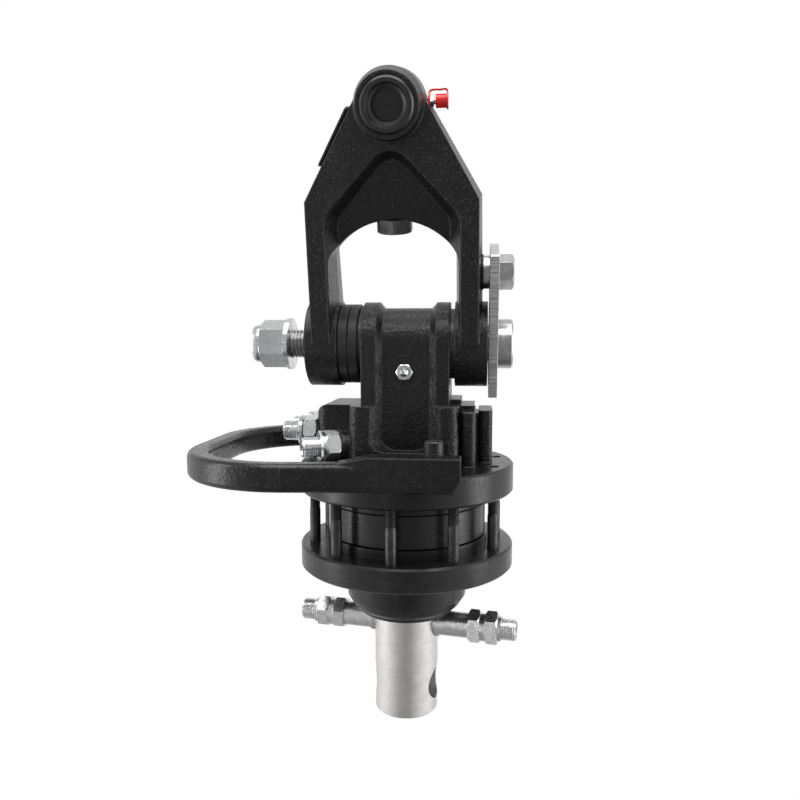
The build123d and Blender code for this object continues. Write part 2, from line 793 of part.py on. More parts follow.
def hose_guard():
    outer = guard_outline(guard_front, guard_left, guard_corner)
    inner_front = guard_front - guard_bar_width
    inner = guard_outline(inner_front, guard_left + guard_bar_width, guard_corner - guard_bar_width)
    inner += Pos(guard_right, 0) * Rectangle(4 * guard_bar_width, 2 * inner_front)
    bow = Pos(0, 0, guard_bottom) * extrude(outer - inner, amount=guard_top - guard_bottom)
    legs_end = bow.edges().filter_by(lambda e: e.center().X > guard_right - 1)
    long_edges = [e for e in bow.edges() if e not in legs_end and abs(e.tangent_at(0.5).Z) < 0.5]
    bow = fillet(long_edges, guard_edge)
    pad = [
        (guard_pad_start, guard_top - 6), (guard_right, guard_top - 6), (guard_right, guard_pad_top),
        (guard_pad_flat, guard_pad_top), (guard_pad_start, guard_top - 0.5),
    ]
    raised = extrude(Plane.XZ * make_face(Polyline(*pad, close=True)), amount=guard_bar_width)
    lug_top = upper_flange_top + guard_lug_thickness
    for side in (-1, 1):
        bow += Pos(0, side * guard_front if side > 0 else -guard_front + guard_bar_width, 0) * raised
        lug = block(guard_pad_flat + 4, guard_right - 1, side * guard_lug_inner,
                    side * (inner_front + 2), upper_flange_top, lug_top)
        tall = lug.edges().filter_by(Axis.Z).filter_by(lambda e: abs(e.center().Y) < inner_front)
        bow += fillet(tall, 6.0)
        bow -= rod_z(m8_radius + soft_clearance, upper_flange_top - 1, lug_top + 1, guard_screw_x, side * guard_screw_y)
    cut = make_face(Polyline(
        (guard_right + 1, guard_bottom + guard_end_drop), (guard_right + 1, guard_bottom - 1),
        (guard_right - guard_end_cut, guard_bottom - 1), (guard_right, guard_bottom + guard_end_drop), close=True))
    return bow - extrude(Plane.XZ * cut, amount=guard_front + 5, both=True)


def guard_washers():
    low = upper_flange_top + guard_lug_thickness
    high = low + m8_washer_thickness + m8_spring_washer_thickness
    flat = ring_z(m8_washer_radius, m8_radius + soft_clearance, low, low + m8_washer_thickness)
    spring = ring_z(m8_head_radius, m8_radius + soft_clearance, low + m8_washer_thickness, high)
    spring -= block(0, m8_head_radius + 1, -0.7, 0.7, low + m8_washer_thickness - 1, high + 1)
    return [Pos(guard_screw_x, side * guard_screw_y, 0) * piece for side in (-1, 1) for piece in (flat, spring)]


def socket_screw(seat, tip):
    """Socket head cap screw, head upwards on its seat, as one M8 solid on the Z axis."""
    head = seat + m8_head_height
    profile = (
        (0, tip), (m8_radius - 0.8, tip), (m8_radius, tip + 0.8), (m8_radius, seat), (m8_head_radius, seat),
        (m8_head_radius, head - 0.7), (m8_head_radius - 0.7, head), (0, head),
    )
    socket = Pos(0, 0, head - m8_head_height / 2) * extrude(RegularPolygon(m8_socket / sqrt(3), 6), amount=m8_head_height)
    return turned(profile, "z") - socket


def guard_screws():
    seat = upper_flange_top + guard_lug_thickness + m8_washer_thickness + m8_spring_washer_thickness
    screw = socket_screw(seat, upper_flange_top - guard_screw_bite)
    return [Pos(guard_screw_x, side * guard_screw_y, 0) * screw for side in (-1, 1)]


bush_outer = pivot_bush_radius
bush_inner = pin_radius + running_clearance
save("head_casting", head_casting(), head_frame)
save("pivot_bush_left", ring_x(bush_outer, bush_inner, lug_left, lug_left + pivot_bush_length), head_frame)
save("pivot_bush_right", ring_x(bush_outer, bush_inner, lug_right - pivot_bush_length, lug_right), head_frame)
save("lug_grease_nipple", lug_nipple(), head_frame)
adapter = hose_adapter(upper_thread_radius, upper_hex, upper_bore_radius)
save("front_adapter", front_port * adapter, head_frame)
save("side_adapters", Compound([port * adapter for port in side_ports]), head_frame)
save("rear_adapter", rear_port * adapter, head_frame)
seals = [port * adapter_seal_ring() for port in upper_ports]
save("adapter_seal_rings", Compound(seals), head_frame)
save("hose_guard", hose_guard(), head_frame)
save("guard_washers", Compound(guard_washers()), head_frame)
save("guard_screws", Compound(guard_screws()), head_frame)


def cam_ring():
    """Stator ring: the vanes ride on its oval bore."""
    profile = (
        (cam_short_radius - 2, spigot_top), (ring_radius - ring_edge, spigot_top),
        (ring_radius, spigot_top + ring_edge), (ring_radius, upper_spigot_bottom - ring_edge),
        (ring_radius - ring_edge, upper_spigot_bottom), (cam_short_radius - 2, upper_spigot_bottom),
    )
    bore = extrude(Pos(0, 0, spigot_top - 1) * Ellipse(cam_long_radius, cam_short_radius), amount=-2 * spigot_top)
    return turned(profile, "z") - bore


inner_race_radius = shaft_seat_radius + inner_race_wall
outer_race_inner = inner_race_radius + 2 * roller_radius
outer_race_radius = outer_race_inner + outer_race_wall
bearing_bottom = bearing_top - bearing_height
seal_top = hub_bottom + seal_height
shaft_hole = shaft_seat_radius + 0.6
thrust_washer_radius = shaft_hole + thrust_washer_width


def lower_flange():
    """Lower flange with the spigot for the cam ring and the tapered seal hub."""
    washer_seat = spigot_top - thrust_washer_thickness
    profile = (
        (shaft_hole, washer_seat), (thrust_washer_radius + fixed_clearance, washer_seat),
        (thrust_washer_radius + fixed_clearance, spigot_top), (spigot_radius, spigot_top),
        (spigot_radius, lower_flange_top), (flange_radius - flange_edge, lower_flange_top),
        (flange_radius, lower_flange_top - flange_edge), (flange_radius, lower_flange_bottom + flange_edge),
        (flange_radius - flange_edge, lower_flange_bottom), (hub_radius, lower_flange_bottom),
        (hub_radius, hub_straight_bottom), (hub_nose_radius + 4, hub_bottom + 3.5),
        (hub_nose_radius, hub_bottom), (shaft_hole, hub_bottom),
    )
    casting = turned(profile, "z")
    casting -= rod_z(outer_race_radius + fixed_clearance, bearing_bottom, bearing_top)
    casting -= rod_z(seal_outer_radius + fixed_clearance, hub_bottom - 1, seal_top)
    clear = m8_radius + bolt_hole_clearance
    cut = rod_z(clear, lower_flange_bottom - 1, lower_flange_top + 1)
    cut += rod_z(m8_head_radius + counterbore_clearance, lower_flange_bottom - 1, lower_flange_bottom + counterbore_depth)
    for hole in around(cut, bolt_count, bolt_circle_radius, bolt_phase):
        casting -= hole
    return casting


def long_bolts():
    """Cap screws that clamp both flanges on the cam ring, heads sunk in the lower flange."""
    seat = -(lower_flange_bottom + counterbore_depth)
    screw = Rot(180, 0, 0) * socket_screw(seat, -bolt_tip)
    return around(screw, bolt_count, bolt_circle_radius, bolt_phase)


def rollers():
    middle = (inner_race_radius + outer_race_inner) / 2
    roller = rod_z(roller_radius - fixed_clearance, bearing_bottom + 2, bearing_top - 2)
    return around(roller, roller_count, middle)


def shaft_seal():
    return ring_z(seal_outer_radius, shaft_seat_radius + running_clearance, hub_bottom, seal_top)


def dust_wiper():
    return ring_z(wiper_radius, shaft_seat_radius + running_clearance, hub_bottom - wiper_height, hub_bottom)


save("cam_ring", cam_ring(), head_frame)
save("lower_flange", lower_flange(), head_frame)
save("long_bolts", Compound(long_bolts()), head_frame)
upper_bush_inner = upper_journal_radius + running_clearance
upper_bush = ring_z(upper_bush_inner + upper_bush_wall, upper_bush_inner, upper_spigot_bottom,
                    upper_spigot_bottom + upper_bush_length)
save("upper_journal_bush", upper_bush, head_frame)
outer_race = ring_z(outer_race_radius, outer_race_inner, bearing_bottom, bearing_top)
save("lower_bearing_outer_race", outer_race, head_frame)
save("lower_bearing_rollers", Compound(rollers()), head_frame)
thrust_washer = ring_z(thrust_washer_radius, shaft_hole, spigot_top - thrust_washer_thickness, spigot_top)
save("rotor_thrust_washer", thrust_washer, head_frame)
save("shaft_seal", shaft_seal(), head_frame)
save("dust_wiper", dust_wiper(), head_frame)


drum_bottom = spigot_top + drum_end_play
drum_top = upper_spigot_bottom - drum_end_play


def rotor_shaft():
    """Vane rotor, shaft and grapple end in one forging, ground to size for the socket above the cross bore."""
    tail_radius = shaft_radius - shaft_relief
    grooves = []
    for i in range(groove_count):
        top = groove_first - i * groove_pitch
        grooves += [
            (upper_journal_radius, top), (upper_journal_radius - groove_depth, top),
            (upper_journal_radius - groove_depth, top - groove_height), (upper_journal_radius, top - groove_height),
        ]
    profile = [(0, upper_journal_top), (upper_journal_radius - 1, upper_journal_top),
               (upper_journal_radius, upper_journal_top - 1)]
    profile += grooves
    profile += [
        (upper_journal_radius, drum_top), (drum_radius, drum_top), (drum_radius, drum_bottom),
        (shaft_seat_radius, drum_bottom), (shaft_seat_radius, shaft_neck_bottom),
        (shaft_radius, shaft_neck_bottom), (shaft_radius, shaft_pilot_bottom),
        (tail_radius, shaft_pilot_bottom), (tail_radius, shaft_bottom + shaft_edge),
        (tail_radius - shaft_edge, shaft_bottom), (0, shaft_bottom),
    ]
    shaft = turned(profile, "z")
    slot = block(drum_radius - drum_slot_depth, drum_radius + 5, -drum_slot_width / 2, drum_slot_width / 2,
                 drum_bottom - 1, drum_top + 1)
    for cut in around(slot, vane_count, 0):
        shaft -= cut
    for side in (-1, 1):
        shaft -= rod_x(pipe_radius + fixed_clearance, side * pipe_inner_end, side * (shaft_seat_radius + 5), z=pipe_height)
    shaft -= rod_x(cross_bore_radius, -shaft_radius - 5, shaft_radius + 5, z=shaft_bottom + cross_bore_height)
    return shaft


def vanes():
    half = drum_slot_width / 2 - vane_side_gap
    inner = drum_radius - drum_slot_depth + 0.3
    vane = block(inner, inner + vane_length, -half, half, drum_bottom, drum_top)
    return around(vane, vane_count, 0)


def seal_rings():
    rings = []
    for i in range(groove_count):
        top = groove_first - i * groove_pitch - 0.2
        rings.append(ring_z(upper_journal_radius, upper_journal_radius - groove_depth + fixed_clearance,
                            top - groove_height + 0.4, top))
    return rings


nut_end = pipe_outer_end + pipe_nut_length


def pipe(side):
    """Straight tube screwed into the side of the shaft, with a raised collar at the shaft."""
    tube = rod_x(pipe_radius, side * pipe_inner_end, side * (pipe_outer_end + 3))
    collar_start = shaft_seat_radius + 0.2
    tube += rod_x(pipe_weld_radius, side * collar_start, side * (collar_start + 2.5))
    tube -= rod_x(pipe_bore_radius, side * (pipe_inner_end - 1), side * (pipe_outer_end + 4))
    return Pos(0, 0, pipe_height) * tube


def pipe_nut(side):
    nut = hex_x(pipe_nut_hex, side * pipe_outer_end, side * nut_end, turn=20)
    nut -= rod_x(pipe_radius + fixed_clearance, side * (pipe_outer_end - 1), side * (nut_end + 1))
    return Pos(0, 0, pipe_height) * nut


def lower_adapter(side):
    collar_end = nut_end + lower_collar_length
    hex_end = collar_end + lower_hex_length
    shoulder = hex_end + 2.5
    tip = shoulder + lower_thread_length
    body = rod_x(lower_collar_radius, side * nut_end, side * collar_end)
    body += hex_x(pipe_nut_hex, side * collar_end, side * hex_end, turn=40)
    body += rod_x(lower_thread_radius + 1.2, side * hex_end, side * shoulder)
    thread = (
        (0, side * (shoulder - 0.5)), (lower_thread_radius, side * (shoulder - 0.5)),
        (lower_thread_radius, side * (tip - 1.2)), (lower_thread_radius - 1.2, side * tip), (0, side * tip),
    )
    body += turned(thread, "x")
    body -= rod_x(lower_bore_radius, side * (nut_end - 1), side * (tip + 1))
    return Pos(0, 0, pipe_height) * body


save("rotor_shaft", rotor_shaft(), rotor_frame)
save("rotor_vanes", Compound(vanes()), rotor_frame)
save("distributor_seal_rings", Compound(seal_rings()), rotor_frame)
inner_race = ring_z(inner_race_radius, shaft_seat_radius + fixed_clearance, bearing_bottom, bearing_top)
save("lower_bearing_inner_race", inner_race, rotor_frame)
save("lower_pipes", Compound([pipe(side) for side in (-1, 1)]), rotor_frame)
save("pipe_nuts", Compound([pipe_nut(side) for side in (-1, 1)]), rotor_frame)
save("lower_adapters", Compound([lower_adapter(side) for side in (-1, 1)]), rotor_frame)
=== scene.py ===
import math

import bmesh
import bpy
from mathutils import Matrix, Vector


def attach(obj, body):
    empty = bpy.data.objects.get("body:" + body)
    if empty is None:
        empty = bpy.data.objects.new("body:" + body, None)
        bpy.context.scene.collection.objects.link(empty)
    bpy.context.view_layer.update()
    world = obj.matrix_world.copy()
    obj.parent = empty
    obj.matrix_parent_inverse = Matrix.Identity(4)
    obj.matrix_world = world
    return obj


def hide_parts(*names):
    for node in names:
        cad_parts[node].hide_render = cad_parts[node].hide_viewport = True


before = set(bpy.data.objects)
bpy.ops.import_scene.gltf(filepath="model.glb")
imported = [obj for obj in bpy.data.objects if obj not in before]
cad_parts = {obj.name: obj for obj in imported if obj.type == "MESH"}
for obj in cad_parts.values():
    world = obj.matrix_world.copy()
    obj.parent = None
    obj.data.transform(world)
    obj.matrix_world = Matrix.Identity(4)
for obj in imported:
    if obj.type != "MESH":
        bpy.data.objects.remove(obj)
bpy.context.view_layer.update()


# The photographer's table: the rotator is held up before a white wall, in a room that is dark behind the camera.
# The camera stands half a metre in front and a little to the right of the shaft.
# A large soft box hangs overhead, and a tall one stands on each side.
camera_place = (0.05901, -0.50247, -0.15408)
camera_tilt = 84.79
camera_pan = 6.0
camera_lens = 32.706

lens = bpy.data.cameras.new("camera")
lens.lens = camera_lens
lens.sensor_width = 36
camera = bpy.data.objects.new("camera", lens)
camera.location = camera_place
camera.rotation_euler = (math.radians(camera_tilt), 0, math.radians(camera_pan))
bpy.context.scene.collection.objects.link(camera)
bpy.context.scene.camera = camera
bpy.context.scene.view_settings.view_transform = "Standard"


def add(tree, kind, feeds=None, **settings):
    """Adds a shader node. feeds gives its inputs, each a value or another node's output."""
    node = tree.nodes.new("ShaderNode" + kind)
    for name, value in settings.items():
        setattr(node, name, value)
    for name, value in (feeds or {}).items():
        if isinstance(value, bpy.types.NodeSocket):
            tree.links.new(value, node.inputs[name])
        else:
            node.inputs[name].default_value = value
    return node


room = bpy.data.worlds.new("white_room")
room.use_nodes = True
walls = room.node_tree
walls.nodes.clear()
rays = add(walls, "LightPath").outputs
mirrored = add(walls, "Math", {0: rays["Is Glossy Ray"], 1: rays["Is Transmission Ray"]}, operation="MAXIMUM").outputs[0]
towards = add(walls, "SeparateXYZ", {"Vector": add(walls, "TexCoord").outputs["Generated"]}).outputs
aside = add(walls, "Math", {0: towards["X"]}, operation="ABSOLUTE").outputs[0]
aside = add(walls, "Math", {0: aside, 1: towards["Y"]}, operation="MAXIMUM").outputs[0]
wall = add(walls, "MapRange", {"Value": aside, "From Min": 0.3, "From Max": 0.92, "To Min": 0.3, "To Max": 1.0}).outputs["Result"]
shade = add(walls, "Mix", {0: mirrored, 2: 0.42, 3: wall}, data_type="FLOAT").outputs[0]
level = add(walls, "Math", {0: shade, 1: rays["Is Camera Ray"]}, operation="MAXIMUM").outputs[0]
glow = add(walls, "Background", {"Color": (1, 1, 1, 1), "Strength": level}).outputs[0]
add(walls, "OutputWorld", {"Surface": glow})
bpy.context.scene.world = room


def soft_box(name, place, aim, width, height, power):
    light = bpy.data.lights.new(name, "AREA")
    light.shape = "RECTANGLE"
    light.size = width
    light.size_y = height
    light.energy = power
    lamp = bpy.data.objects.new(name, light)
    lamp.location = place
    lamp.rotation_euler = (Vector(aim) - Vector(place)).to_track_quat("-Z", "Y").to_euler()
    bpy.context.scene.collection.objects.link(lamp)


soft_box("soft_box_top", (0.0, -0.15, 0.6), (0, 0.02, -0.1), 0.9, 0.8, 11)
soft_box("soft_box_left", (-0.8, -0.2, -0.1), (0, 0, -0.15), 0.3, 0.9, 3.5)
soft_box("soft_box_right", (0.85, -0.05, -0.1), (0, 0, -0.15), 0.3, 0.9, 3.5)
soft_box("strip_lamp", (-0.22, -0.75, -0.2), (0, 0, -0.2), 0.035, 0.9, 0.22)


# Link: a sand casting in ductile iron, an arch of two arms under a round crane boss.
# Its skin keeps the sand's grain under satin black paint, and its corners are painted lighter: partly paint worn thin,
# partly a painted highlight.
def ramp(tree, factor, *stops):
    """Colour band made of (place, colour) stops."""
    node = add(tree, "ValToRGB", {"Fac": factor})
    band = node.color_ramp
    band.elements.remove(band.elements[1])
    for i, (place, colour) in enumerate(stops):
        stop = band.elements[0] if i == 0 else band.elements.new(place)
        stop.position = place
        stop.color = (*colour, 1)
    return node.outputs["Color"]


def blank_material(name):
    made = bpy.data.materials.new(name)
    made.use_nodes = True
    return made, made.node_tree, made.node_tree.nodes["Principled BSDF"]


def rounded(tree, reach):
    """Normal with its corners rounded by reach, and how near a point is to a corner."""
    normal = add(tree, "Bevel", {"Radius": reach}, samples=4).outputs["Normal"]
    flat = add(tree, "NewGeometry").outputs["Normal"]
    likeness = add(tree, "VectorMath", {0: normal, 1: flat}, operation="DOT_PRODUCT").outputs["Value"]
    corner = add(tree, "MapRange", {"Value": likeness, "From Min": 0.995, "From Max": 0.85}).outputs["Result"]
    return normal, corner


def cast_paint(name, grain, depth, gloss, smooth_below=-9.0):
    """Black paint over sand casting; the part under the height smooth_below is machined."""
    made, tree, shader = blank_material(name)
    place = add(tree, "TexCoord").outputs["Object"]
    lumps = add(tree, "TexNoise", {"Vector": place, "Scale": grain, "Detail": 3.0, "Roughness": 0.62}).outputs["Fac"]
    sand = add(tree, "TexNoise", {"Vector": place, "Scale": grain * 3.0, "Detail": 2.0, "Roughness": 0.5}).outputs["Fac"]
    sand = add(tree, "MapRange", {"Value": sand, "From Min": 0.62, "From Max": 0.76}).outputs["Result"]
    patches = add(tree, "TexNoise", {"Vector": place, "Scale": 45.0, "Detail": 2.0}).outputs["Fac"]
    height = add(tree, "Math", {0: sand, 1: 0.5, 2: lumps}, operation="MULTIPLY_ADD").outputs[0]
    up = add(tree, "SeparateXYZ", {"Vector": place}).outputs["Z"]
    rough = add(tree, "MapRange", {"Value": up, "From Min": smooth_below - 0.0006, "From Max": smooth_below + 0.0006})
    strength = add(tree, "Math", {0: rough.outputs["Result"], 1: 0.9, 2: 0.06}, operation="MULTIPLY_ADD").outputs[0]
    normal, corner = rounded(tree, 0.0016)
    bump = add(tree, "Bump", {"Strength": strength, "Distance": depth, "Height": height, "Normal": normal})
    colour = ramp(tree, patches, (0.3, (0.003, 0.003, 0.0032)), (0.7, (0.008, 0.008, 0.0085)))
    # Corners painted lighter grey: partly paint worn thin, partly a painted highlight along the edges.
    worn_edge_highlight = add(tree, "Mix", {0: corner, 6: colour, 7: (0.035, 0.035, 0.037, 1)}, data_type="RGBA").outputs[2]
    sheen = add(tree, "MapRange", {"Value": lumps, "From Min": 0.3, "From Max": 0.7, "To Min": gloss + 0.1, "To Max": gloss - 0.06})
    tree.links.new(worn_edge_highlight, shader.inputs["Base Color"])
    tree.links.new(sheen.outputs["Result"], shader.inputs["Roughness"])
    tree.links.new(bump.outputs["Normal"], shader.inputs["Normal"])
    shader.inputs["Specular IOR Level"].default_value = 0.4
    return made


def dress(material, *nodes):
    """Gives CAD nodes a better material."""
    for node in nodes:
        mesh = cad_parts[node].data
        mesh.materials.clear()
        mesh.materials.append(material)


dress(cast_paint("link_paint", 330.0, 0.0008, 0.3), "link_yoke")


# Crane bush: a bronze sleeve pressed into the boss, wiped with grease.
# It only shows when the plug is out.
def turned_metal(name, dark, light, gloss, lines, bite=0.00008, metallic=1.0, axis="X"):
    """Metal turned on a lathe: fine rings about the axis, and a little colour variation."""
    made, tree, shader = blank_material(name)
    place = add(tree, "TexCoord").outputs["Object"]
    squeeze = {"X": (lines, 20.0, 20.0), "Y": (20.0, lines, 20.0), "Z": (20.0, 20.0, lines)}[axis]
    along = add(tree, "Mapping", {"Vector": place, "Scale": squeeze}).outputs["Vector"]
    cuts = add(tree, "TexNoise", {"Vector": along, "Scale": 1.0, "Detail": 3.0, "Roughness": 0.7}).outputs["Fac"]
    stains = add(tree, "TexNoise", {"Vector": place, "Scale": 120.0, "Detail": 4.0, "Roughness": 0.6}).outputs["Fac"]
    normal, corner = rounded(tree, 0.0005)
    bump = add(tree, "Bump", {"Strength": 0.5, "Distance": bite, "Height": cuts, "Normal": normal})
    colour = ramp(tree, stains, (0.35, dark), (0.65, light))
    # Corners painted lighter: partly rubbed metal, partly a painted highlight along the edges.
    worn_edge_highlight = add(tree, "Mix", {0: corner, 6: colour, 7: (*[min(1.0, c * 1.25) for c in light], 1)}, data_type="RGBA").outputs[2]
    sheen = add(tree, "MapRange", {"Value": cuts, "From Min": 0.3, "From Max": 0.7, "To Min": gloss - 0.05, "To Max": gloss + 0.08})
    tree.links.new(worn_edge_highlight, shader.inputs["Base Color"])
    tree.links.new(sheen.outputs["Result"], shader.inputs["Roughness"])
    tree.links.new(bump.outputs["Normal"], shader.inputs["Normal"])
    shader.inputs["Metallic"].default_value = metallic
    if metallic < 0.5:
        shader.inputs["Specular IOR Level"].default_value = 0.4
    return made


dress(turned_metal("bush_bronze", (0.36, 0.2, 0.08), (0.5, 0.3, 0.13), 0.3, 900.0, axis="Y"), "crane_bush")


# Bore plug: a soft black shipping plug pushed into the crane boss.
# It is moulded, so its face has rings and a fine matt skin.
def moulded(name, dark, light, gloss, grain, depth=0.00005):
    """Moulded plastic or rubber with a fine skin, and corners painted lighter: partly rubbed, partly a painted
    highlight.
    """
    made, tree, shader = blank_material(name)
    place = add(tree, "TexCoord").outputs["Object"]
    skin = add(tree, "TexNoise", {"Vector": place, "Scale": grain, "Detail": 3.0, "Roughness": 0.6}).outputs["Fac"]
    patches = add(tree, "TexNoise", {"Vector": place, "Scale": 90.0, "Detail": 2.0}).outputs["Fac"]
    normal, corner = rounded(tree, 0.0005)
    bump = add(tree, "Bump", {"Strength": 0.6, "Distance": depth, "Height": skin, "Normal": normal})
    colour = ramp(tree, patches, (0.35, dark), (0.65, light))
    # Corners painted lighter: partly rubbed, partly a painted highlight along the edges.
    rubbed_edge_highlight = add(tree, "Mix", {0: corner, 6: colour, 7: (*[min(1.0, c * 1.5 + 0.01) for c in light], 1)}, data_type="RGBA").outputs[2]
    sheen = add(tree, "MapRange", {"Value": skin, "From Min": 0.3, "From Max": 0.7, "To Min": gloss + 0.06, "To Max": gloss - 0.06})
    tree.links.new(rubbed_edge_highlight, shader.inputs["Base Color"])
    tree.links.new(sheen.outputs["Result"], shader.inputs["Roughness"])
    tree.links.new(bump.outputs["Normal"], shader.inputs["Normal"])
    return made


dress(moulded("plug_plastic", (0.008, 0.008, 0.009), (0.013, 0.013, 0.014), 0.34, 1500.0), "bore_plug")


# Grease nipple on the boss's side, with a red soft plastic cap tied to it by its own strap.
# The nipple is zinc plated steel.
def zinc(name, gloss=0.24, tint=(0.78, 0.79, 0.8)):
    """Bright zinc plating over machined steel."""
    made, tree, shader = blank_material(name)
    place = add(tree, "TexCoord").outputs["Object"]
    clouds = add(tree, "TexNoise", {"Vector": place, "Scale": 260.0, "Detail": 4.0, "Roughness": 0.6}).outputs["Fac"]
    grit = add(tree, "TexNoise", {"Vector": place, "Scale": 900.0, "Detail": 1.0}).outputs["Fac"]
    normal, corner = rounded(tree, 0.00012)
    bump = add(tree, "Bump", {"Strength": 0.1, "Distance": 0.00002, "Height": grit, "Normal": normal})
    shade = tuple(c * 0.78 for c in tint)
    colour = ramp(tree, clouds, (0.35, shade), (0.62, tint))
    # Corners painted near white: a painted highlight along the edges.
    bright = add(tree, "Mix", {0: corner, 6: colour, 7: (0.93, 0.93, 0.93, 1)}, data_type="RGBA").outputs[2]
    sheen = add(tree, "MapRange", {"Value": clouds, "From Min": 0.3, "From Max": 0.7, "To Min": gloss + 0.1, "To Max": gloss - 0.05})
    tree.links.new(bright, shader.inputs["Base Color"])
    tree.links.new(sheen.outputs["Result"], shader.inputs["Roughness"])
    tree.links.new(bump.outputs["Normal"], shader.inputs["Normal"])
    shader.inputs["Metallic"].default_value = 1.0
    return made


bright_zinc = zinc("bright_zinc")
dress(bright_zinc, "crane_grease_nipple", "lug_grease_nipple")
dress(moulded("cap_red", (0.62, 0.012, 0.01), (0.78, 0.02, 0.015), 0.25, 900.0), "nipple_cap", "nipple_cap_strap")


# Blank plate: a thin steel tag on the link's left slope, held by two drive rivets and painted over.
# It carries nothing, and from the front only its edge shows beside the casting.
link_place = Matrix.Rotation(math.radians(18), 4, "X") @ Matrix.Translation((0, 0, -0.170))
slope_place = link_place @ Matrix.Translation((-0.03836, 0, 0.1506)) @ Matrix.Rotation(math.radians(-59.8), 4, "Y")
tag_length = 43.0
tag_width = 30.0
tag_corner = 2.5
tag_layers = ((0, -0.3), (0, 1.1), (0.3, 1.4))
rivet_places = (-17.5, 17.5)
rivet_rows = ((2.2, 1.2), (2.2, 1.7), (1.8, 2.1), (1.0, 2.4))


def skin(made, outlines):
    """Skins closed outlines in millimetres, one over the other, and closes both ends."""
    rings = [[made.verts.new(Vector(point) / 1000) for point in outline] for outline in outlines]
    for before, after in zip(rings, rings[1:]):
        for i in range(len(before)):
            j = (i + 1) % len(before)
            made.faces.new((before[i], before[j], after[j], after[i]))
    made.faces.new(rings[0])
    made.faces.new(rings[-1])


def tag_outline(inset, height):
    """Rectangle with round corners, drawn in by inset."""
    points = []
    for quarter, (along, across) in enumerate(((1, 1), (-1, 1), (-1, -1), (1, -1))):
        for step in range(7):
            angle = math.radians(90 * quarter + 15 * step)
            x = along * (tag_length / 2 - tag_corner) + (tag_corner - inset) * math.cos(angle)
            y = across * (tag_width / 2 - tag_corner) + (tag_corner - inset) * math.sin(angle)
            points.append((x, y, height))
    return points


tag_mesh = bmesh.new()
skin(tag_mesh, [tag_outline(inset, height) for inset, height in tag_layers])
for middle in rivet_places:
    skin(tag_mesh, [
        [(middle + r * math.cos(math.pi * i / 12), r * math.sin(math.pi * i / 12), height) for i in range(24)]
        for r, height in rivet_rows
    ])
bmesh.ops.recalc_face_normals(tag_mesh, faces=tag_mesh.faces)
for face in tag_mesh.faces:
    face.smooth = True
tag_shape = bpy.data.meshes.new("blank_plate")
tag_mesh.to_mesh(tag_shape)
tag_mesh.free()
tag_shape.transform(slope_place)
tag_shape.set_sharp_from_angle(angle=math.radians(33))
tag_shape.materials.append(cast_paint("plate_paint", 600.0, 0.00015, 0.3))
blank_plate = bpy.data.objects.new("blank_plate", tag_shape)
bpy.context.scene.collection.objects.link(blank_plate)
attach(blank_plate, "link")


# Pivot pin, its washer and its lock nut: hardened steel with an M22 thread, bright zinc on the nut.
# The nut's crown is closed over a plastic ring that grips the thread.
def spun(name, rows, place, material, segments=72, across=0.0, turn=0.0, pitch=1.0, depth=0.0):
    """Skins rows of (position, radius, kind) about the X axis of place, in millimetres.

    A row of kind hex is milled to a hexagon across its flats, and one of kind thread carries a helical groove.
    """
    full = [rows[0]]
    for (x0, r0, kind0), (x1, r1, kind1) in zip(rows, rows[1:]):
        steps = 1
        if kind0 == kind1 == "thread":
            steps = max(1, round(abs(x1 - x0) / pitch * 8))
        if kind0 == kind1 == "hex":
            steps = 5
        for i in range(1, steps + 1):
            full.append((x0 + (x1 - x0) * i / steps, r0 + (r1 - r0) * i / steps, kind1))
    made = bmesh.new()
    rings = []
    for x, r, kind in full:
        ring = []
        for i in range(segments):
            angle = math.radians(turn) + 2 * math.pi * i / segments
            radius = r
            if kind == "hex":
                off = (angle - math.radians(turn) + math.pi / 6) % (math.pi / 3) - math.pi / 6
                radius = min(r, across / 2 / math.cos(off))
            if kind == "thread":
                radius -= depth * abs(2 * ((x / pitch - angle / (2 * math.pi)) % 1) - 1)
            ring.append(made.verts.new((x / 1000, radius * math.cos(angle) / 1000, radius * math.sin(angle) / 1000)))
        rings.append(ring)
    for before, after in zip(rings, rings[1:]):
        for i in range(segments):
            j = (i + 1) % segments
            made.faces.new((before[i], before[j], after[j], after[i]))
    bmesh.ops.remove_doubles(made, verts=made.verts, dist=1e-6)
    bmesh.ops.recalc_face_normals(made, faces=made.faces)
    for face in made.faces:
        face.smooth = True
    mesh = bpy.data.meshes.new(name)
    made.to_mesh(mesh)
    made.free()
    mesh.transform(place)
    mesh.set_sharp_from_angle(angle=math.radians(33))
    mesh.materials.append(material)
    piece = bpy.data.objects.new(name, mesh)
    bpy.context.scene.collection.objects.link(piece)
    return piece


pin_steel = turned_metal("pin_steel", (0.4, 0.4, 0.4), (0.56, 0.56, 0.57), 0.3, 1400.0)
pin_rows = [
    (-112, 0, ""), (-112, 9.4, "thread"), (-110.4, 11, "thread"), (-61.5, 11, "thread"), (-61, 14, ""), (74.5, 14, ""),
    (74.5, 18.5, ""), (84.5, 18.5, ""), (85.7, 17.3, ""), (85.7, 14.6, ""), (85.2, 14.2, ""), (85.2, 3.4, ""),
    (83.6, 1.6, ""), (83.6, 0, ""),
]
pin = spun("pivot_pin_threaded", pin_rows, link_place, pin_steel, pitch=2.5, depth=1.35)
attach(pin, "link")
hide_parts("pivot_pin")

nut_rows = [
    (-86, 11.1, ""), (-86, 15.2, "hex"), (-87.3, 18.5, "hex"), (-105.2, 18.5, "hex"), (-106.5, 15.6, "hex"),
    (-106.5, 14.6, ""), (-110.4, 14.6, ""), (-112.2, 13.6, ""), (-113, 12, ""), (-113, 11.3, ""), (-109.5, 11.3, ""),
    (-109.5, 11.1, ""), (-86, 11.1, ""),
]
nut = spun("pivot_nut_detailed", nut_rows, link_place, zinc("nut_zinc", 0.2), across=32, turn=6 - 30)
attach(nut, "link")
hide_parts("pivot_lock_nut")
dress(bright_zinc, "pivot_washer")


